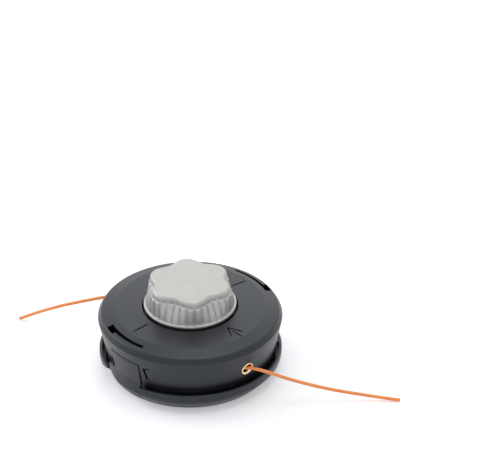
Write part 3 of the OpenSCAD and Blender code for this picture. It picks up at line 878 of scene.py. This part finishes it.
@dataclass
class FeedSpring(SubAssembly):
    """The compression spring: round wire with closed end turns."""
    wire_d: float = 1.8 * MM
    coil_r: float = 17.2 * MM
    turns: int = 6
    play: float = 0.05 * MM
    travel: float = 7.0 * MM
    steps: int = 48
    sides: int = 14

    def build(self) -> List[str]:
        """Builds the spring between its groove and the washer."""
        low, high = (corner[2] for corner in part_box("feed_spring"))
        first, last = low + self.wire_d / 2, high - self.wire_d / 2
        path = []
        for k in range(self.turns * self.steps + 1):
            turn = k / self.steps
            angle = 2 * math.pi * turn
            path.append(Vector((self.coil_r * math.cos(angle), self.coil_r * math.sin(angle),
                                self._height(turn, first, last))))
        skin = Skin()
        skin.tube(path, self.wire_d / 2, self.sides)
        spring = skin.piece("coil_spring", sharp=50)
        self.seat(spring, Body.ROOT, STEEL, "feed_spring")
        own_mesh(spring)
        return [spring.name]

    def _height(self, turn: float, first: float, last: float) -> float:
        """Returns the wire's height after some turns: the end turns rise by the wire's own thickness."""
        if turn < 1:
            return first + turn * self.wire_d
        if turn > self.turns - 1:
            return last - (self.turns - turn) * self.wire_d
        rise = last - first - 2 * self.wire_d
        return first + self.wire_d + rise * (turn - 1) / (self.turns - 2)


@dataclass
class Feed(SubAssembly):
    """The spool with its windings, and the washer."""

    def build(self) -> List[str]:
        """Dresses the feed's nodes."""
        return (self.dress_nodes(SPOOL_NYLON, "spool")
                + self.dress_nodes(ORANGE_NYLON, "winding_lower", "winding_upper")
                + self.dress_nodes(STEEL, "thrust_washer"))


@dataclass
class FreeLines(SubAssembly):
    """The two free ends of the cutting line, each out of its eyelet and down to the floor."""
    diameter: float = 2.4 * MM
    steps: int = 6
    right: Sequence[Point] = (
        (51, -10, 27), (53, -8, 27), (55, -6, 27), (58, -3, 27), (61, 0, 27), (64, 3, 26.9),
        (69, 8, 25.3), (74, 13, 23.1), (78.5, 18, 20.6), (83, 23.3, 18), (87.5, 29, 15.5), (92, 34.7, 13.1),
        (96.3, 40.2, 11), (100.5, 45.6, 9.1), (105, 51.3, 7.4), (109.5, 57, 5.8), (114, 62.5, 4.4),
        (118.5, 67.7, 3.2), (123, 72.5, 2.3), (127.5, 76.9, 1.6), (131.5, 80.7, 1.3))
    left: Sequence[Point] = (
        (51, -10, 27), (53, -8, 27), (55, -6, 27), (58, -3, 27), (61, 0, 27), (64, 3, 26.9),
        (68.7, 7.9, 26.1), (73.4, 12.9, 24.8), (78.1, 17.9, 23.1), (82.8, 23, 21.4), (87.5, 28.3, 19.7),
        (92.2, 33.4, 17.8), (96.8, 38.2, 15.9), (101.3, 42.7, 13.7), (105.8, 47, 11.3), (110.2, 51.1, 8.8),
        (114.3, 55, 6.3), (118.2, 58.6, 3.8), (122, 62, 1.3))

    def build(self) -> List[str]:
        """Builds both line ends."""
        return [self._line("free_line_right", "line_right", self.right, 1),
                self._line("free_line_left", "line_left", self.left, -1)]

    def _line(self, name: str, node: str, route: Sequence[Point], side: int) -> str:
        """Builds one line end as a round curve.

        Args:
            name: the piece's name.
            node: the frame's node that it stands for.
            route: its points in millimetres, in the frame of its own eyelet.
            side: 1 for the eyelet on +X, -1 for the one on -X.

        Returns:
            The piece's name.
        """
        path = smooth_path([(side * x * MM, side * y * MM, z * MM) for x, y, z in route], self.steps)
        curve = bpy.data.curves.new(name, "CURVE")
        curve.dimensions = "3D"
        curve.bevel_depth = self.diameter / 2
        curve.bevel_resolution = 4
        curve.use_fill_caps = True
        spline = curve.splines.new("POLY")
        spline.points.add(len(path) - 1)
        for point, where in zip(spline.points, path):
            point.co = (*where, 1.0)
        piece = bpy.data.objects.new(name, curve)
        bpy.context.scene.collection.objects.link(piece)
        self.seat(piece, Body.ROOT, ORANGE_NYLON, node)
        path_length(path)
        return name


# Studio

@dataclass(frozen=True)
class Lamp:
    """A soft square lamp: where it stands in the picture's own directions, its width and its power."""
    name: str
    place: Point
    width: float
    power: float


@dataclass
class Studio:
    """The floor, the sky, the lamps and the camera, turned to the picture's own directions.

    The camera looks at the head from azimuth and elevation, in radians, and is moved off that line of
    sight by shift_right, shift_up and drop. sky is the sky's strength as a light, and glow is the light
    that the floor adds to itself where it is seen. The floor carries painted shade: floor_shades_off is
    the stretch, towards the back, over which its colour turns from floor_near_painted_shade, a painted
    shade that is darker and bluer in front of and under the head, to the plain floor_far.
    """
    azimuth: float = math.radians(50)
    elevation: float = math.radians(31.749)
    distance: float = 1.83324
    shift_right: float = 0.042023
    shift_up: float = 0.089367
    drop: float = 0.0004
    lens: float = 185.385
    sensor: float = 36.0
    nearest: float = 0.05
    farthest: float = 20.0
    sky: float = 0.63
    sky_tint: Colour = (0.98, 0.99, 1.0)
    glow: float = 0.32
    floor_half: float = 4.0
    floor_gap: float = 0.2 * MM
    # painted shade: the floor's colour in front of and under the head, darker and bluer than floor_far
    floor_near_painted_shade: Colour = linear(243, 244, 247)
    floor_far: Colour = linear(254, 254, 254)
    floor_shades_off: Band = (-0.25, 0.35)
    lamp_aim: Point = (0.0, 0.0, 0.03)
    lamps: Sequence[Lamp] = field(default_factory=lambda: (
        Lamp("lamp_left", (-1.3, 0.5, 0.9), 1.1, 7.4),
        Lamp("lamp_top", (0.15, 0.15, 1.85), 1.2, 7.5),
        Lamp("lamp_back", (0.1, 1.65, 1.05), 1.6, 4.2),
    ))

    def _turned(self, where: Point) -> Vector:
        """Turns a point from the picture's directions (right, away, up) to the frame's."""
        return Matrix.Rotation(self.azimuth, 3, "Z") @ Vector(where)

    def build(self) -> None:
        """Builds everything that the head is seen in."""
        self._camera()
        self._world()
        self._floor()
        for lamp in self.lamps:
            self._lamp(lamp)

    def _camera(self) -> None:
        """Puts the camera where the photograph was taken from."""
        back = self._turned((0, -math.cos(self.elevation), math.sin(self.elevation)))
        right = self._turned((1, 0, 0))
        up = back.cross(right)
        data = bpy.data.cameras.new("camera")
        data.sensor_fit = "HORIZONTAL"
        data.sensor_width = self.sensor
        data.lens = self.lens
        data.clip_start = self.nearest
        data.clip_end = self.farthest
        camera = bpy.data.objects.new("camera", data)
        where = back * self.distance + right * self.shift_right + up * self.shift_up
        where.z -= self.drop
        turn = Matrix((right, up, back)).transposed().to_4x4()
        camera.matrix_world = Matrix.Translation(where) @ turn
        bpy.context.scene.collection.objects.link(camera)
        bpy.context.scene.camera = camera

    @staticmethod
    def _seen(graph: Graph) -> Sock:
        """Returns 1 for what the camera, a reflection or a clear piece shows, and 0 for light."""
        rays = graph.node("ShaderNodeLightPath").outputs
        reflected = Sock(graph, rays["Is Glossy Ray"]).larger(Sock(graph, rays["Is Transmission Ray"]))
        return Sock(graph, rays["Is Camera Ray"]).larger(reflected)

    def _world(self) -> None:
        """Makes the sky white to the camera and to reflections, and softer as a light."""
        world = bpy.data.worlds.new("studio")
        world.use_nodes = True
        bpy.context.scene.world = world
        graph = Graph(world.node_tree)
        strength = self.sky + self._seen(graph) * (1 - self.sky)
        sky = graph.node("ShaderNodeBackground",
                         inputs={"Color": (*self.sky_tint, 1.0), "Strength": strength})
        graph.node("ShaderNodeOutputWorld", inputs={"Surface": sky.outputs[0]})

    def _floor(self) -> None:
        """Lays a pale floor with painted shade, darker and bluer under and in front of the head, which
        fades gently towards the back.
        """
        mesh = bpy.data.meshes.new("floor")
        corners = [(x * self.floor_half, y * self.floor_half, -self.floor_gap)
                   for x, y in ((-1, -1), (1, -1), (1, 1), (-1, 1))]
        mesh.from_pydata(corners, [], [(0, 1, 2, 3)])
        floor = bpy.data.objects.new("floor", mesh)
        bpy.context.scene.collection.objects.link(floor)
        material = bpy.data.materials.new("floor_paper")
        material.use_nodes = True
        graph = Graph(material.node_tree)
        x, y, _ = graph.axes()
        # painted shade: this darkens and blues the floor towards the front and fades out towards the back;
        # the paper and the glow both carry it
        away = (y * math.cos(self.azimuth) - x * math.sin(self.azimuth)).between(*self.floor_shades_off)
        tint = graph.blend(self.floor_near_painted_shade, self.floor_far, away)
        paper = graph.node("ShaderNodeBsdfDiffuse", inputs={"Color": tint})
        shine = self._seen(graph) * self.glow
        glow = graph.node("ShaderNodeEmission", inputs={"Color": tint, "Strength": shine})
        shader = graph.node("ShaderNodeAddShader", inputs={0: paper.outputs[0], 1: glow.outputs[0]})
        graph.node("ShaderNodeOutputMaterial", inputs={"Surface": shader.outputs[0]})
        mesh.materials.append(material)

    def _lamp(self, lamp: Lamp) -> None:
        """Hangs one lamp, facing the head."""
        data = bpy.data.lights.new(lamp.name, "AREA")
        data.shape = "SQUARE"
        data.size = lamp.width
        data.energy = lamp.power
        made = bpy.data.objects.new(lamp.name, data)
        where = self._turned(lamp.place)
        made.location = where
        made.rotation_euler = (Vector(self.lamp_aim) - where).to_track_quat("-Z", "Y").to_euler()
        bpy.context.scene.collection.objects.link(made)


def main() -> None:
    """Builds the studio and the head's sub-assemblies in order, and reports each piece."""
    logging.basicConfig(level=logging.INFO, format="%(name)s: %(message)s")
    bpy.context.scene.view_settings.view_transform = "Standard"
    Studio().build()
    wardrobe = Wardrobe()
    for kind in (FreeLines, Housing, Eyelets, ArborNut, FeedSpring, Feed, BumpKnob, KnobScrews):
        for name in kind(wardrobe).build():
            log.info("%s: %s", kind.__name__, name)


if __name__ == "__main__":
    main()
